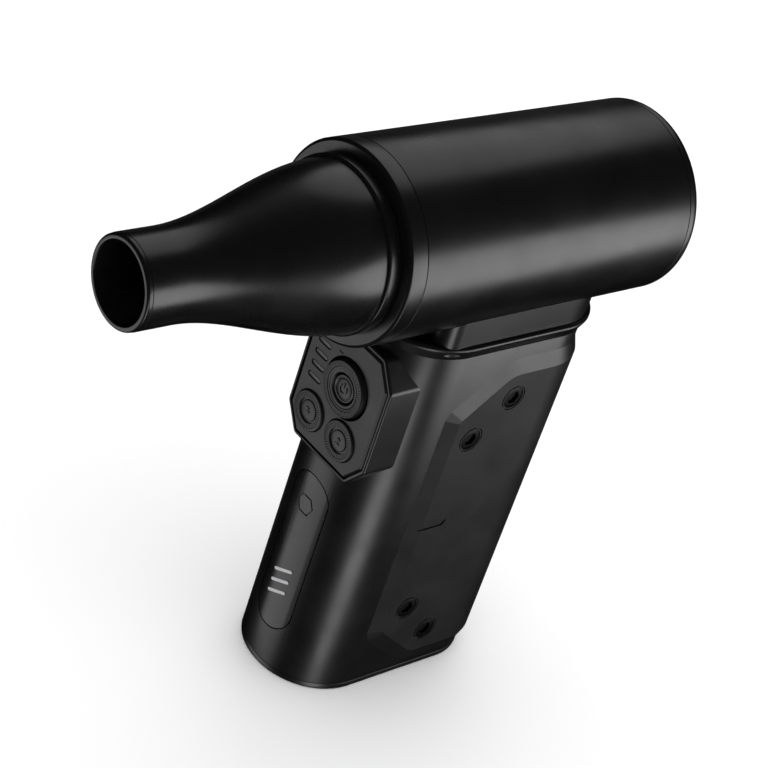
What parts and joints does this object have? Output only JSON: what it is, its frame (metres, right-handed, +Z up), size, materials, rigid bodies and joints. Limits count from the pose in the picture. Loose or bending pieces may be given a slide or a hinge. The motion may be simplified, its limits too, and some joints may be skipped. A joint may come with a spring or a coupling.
{
  "type": "car dryer blower",
  "caption": "Handheld jet blower for drying cars: round fan barrel, tapered pull-off nozzle and an upright battery handle with a dial and keys.",
  "frame": {"origin": "middle of the handle's flat base, on the surface that it stands on", "axes": "+Z up along the handle, -Y out of the nozzle along the barrel, +X to the side of the left-hand side cover as the user holds it"},
  "size_m": [0.056, 0.1814, 0.185],
  "materials": {
    "barrel_black": "semi-gloss moulded, fine satin grain",
    "nozzle_black": "semi-gloss moulded",
    "handle_black": "satin moulded",
    "cover_black": "fine matt grain",
    "cap_black": "satin moulded",
    "panel_black": "fine matt",
    "key_black": "satin with knurled rim",
    "inlay_black": "polished",
    "screw_black": "blackened steel",
    "grille_black": "satin moulded",
    "duct_grey": "moulded",
    "impeller_grey": "glass-filled moulding",
    "steel": "ground",
    "aluminium": "turned",
    "bell_steel": "blackened",
    "winding": "enamelled copper on a steel core",
    "magnet": "nickel plated",
    "rubber": "matt",
    "cell_wrap": "shrink sleeve",
    "holder_black": "moulded",
    "nickel": "nickel strip",
    "board_green": "solder mask",
    "lead_red": "silicone sleeve",
    "capacitor_blue": "shrink sleeve"
  },
  "bodies": {
    "housing": {"barrel_tube": "barrel_black", "front_collar": "barrel_black", "rear_ring": "barrel_black", "intake_grille": "grille_black", "outlet_sleeve": "duct_grey", "vane_housing": "duct_grey", "fan_shroud": "duct_grey", "pod_nose": "duct_grey", "motor_base": "aluminium", "motor_core": "winding", "front_bearing": "steel", "rear_bearing": "steel", "saddle": "cap_black", "top_cap": "cap_black", "barrel_screws": "steel", "saddle_screws": "steel", "cap_screws": "steel", "handle_shell": "handle_black", "side_cover_left": "cover_black", "side_cover_right": "cover_black", "cover_screws_left": "screw_black", "cover_screws_right": "screw_black", "front_inlay": "inlay_black", "base_cap": "cap_black", "base_screws": "screw_black", "control_block": "cap_black", "control_plate": "panel_black", "level_bars": "inlay_black", "panel_board": "board_green", "tact_switches": "holder_black", "dial_encoder": "holder_black", "cell_1": "cell_wrap", "cell_2": "cell_wrap", "cell_3": "cell_wrap", "cell_4": "cell_wrap", "cell_5": "cell_wrap", "cell_6": "cell_wrap", "cell_holder_top": "holder_black", "cell_holder_bottom": "holder_black", "cell_tabs_top": "nickel", "cell_tabs_bottom": "nickel", "charge_board": "board_green", "charge_port": "steel", "driver_board": "board_green", "capacitor": "capacitor_blue", "motor_leads": "lead_red", "battery_leads": "lead_red"},
    "nozzle": {"nozzle": "nozzle_black", "nozzle_seal": "rubber"},
    "rotor": {"motor_shaft": "steel", "rotor_bell": "bell_steel", "magnet_ring": "magnet", "impeller": "impeller_grey", "spinner_nut": "aluminium"},
    "dial": {"speed_dial": "key_black"},
    "power_key": {"power_button": "key_black"},
    "mode_key": {"mode_button": "key_black"},
    "light_key": {"light_button": "key_black"}
  },
  "joints": [
    {"name": "nozzle_pull", "type": "slide", "parent": "housing", "child": "nozzle", "axis": [0, -1, 0], "range_m": [0, 0.03]},
    {"name": "rotor_spin", "type": "hinge", "parent": "housing", "child": "rotor", "pos_m": [0, 0, 0.157], "axis": [0, 1, 0], "continuous": true},
    {"name": "dial_turn", "type": "hinge", "parent": "housing", "child": "dial", "pos_m": [0.002, 0, 0.1063], "axis": [0, -1, 0], "range_deg": [-135, 135]},
    {"name": "power_press", "type": "slide", "parent": "housing", "child": "power_key", "axis": [0, 1, 0], "range_m": [0, 0.0008], "stiffness_N_per_m": 1200, "springref_m": -0.0005},
    {"name": "mode_press", "type": "slide", "parent": "housing", "child": "mode_key", "axis": [0, 1, 0], "range_m": [0, 0.0008], "stiffness_N_per_m": 1200, "springref_m": -0.0005},
    {"name": "light_press", "type": "slide", "parent": "housing", "child": "light_key", "axis": [0, 1, 0], "range_m": [0, 0.0008], "stiffness_N_per_m": 1200, "springref_m": -0.0005}
  ]
}
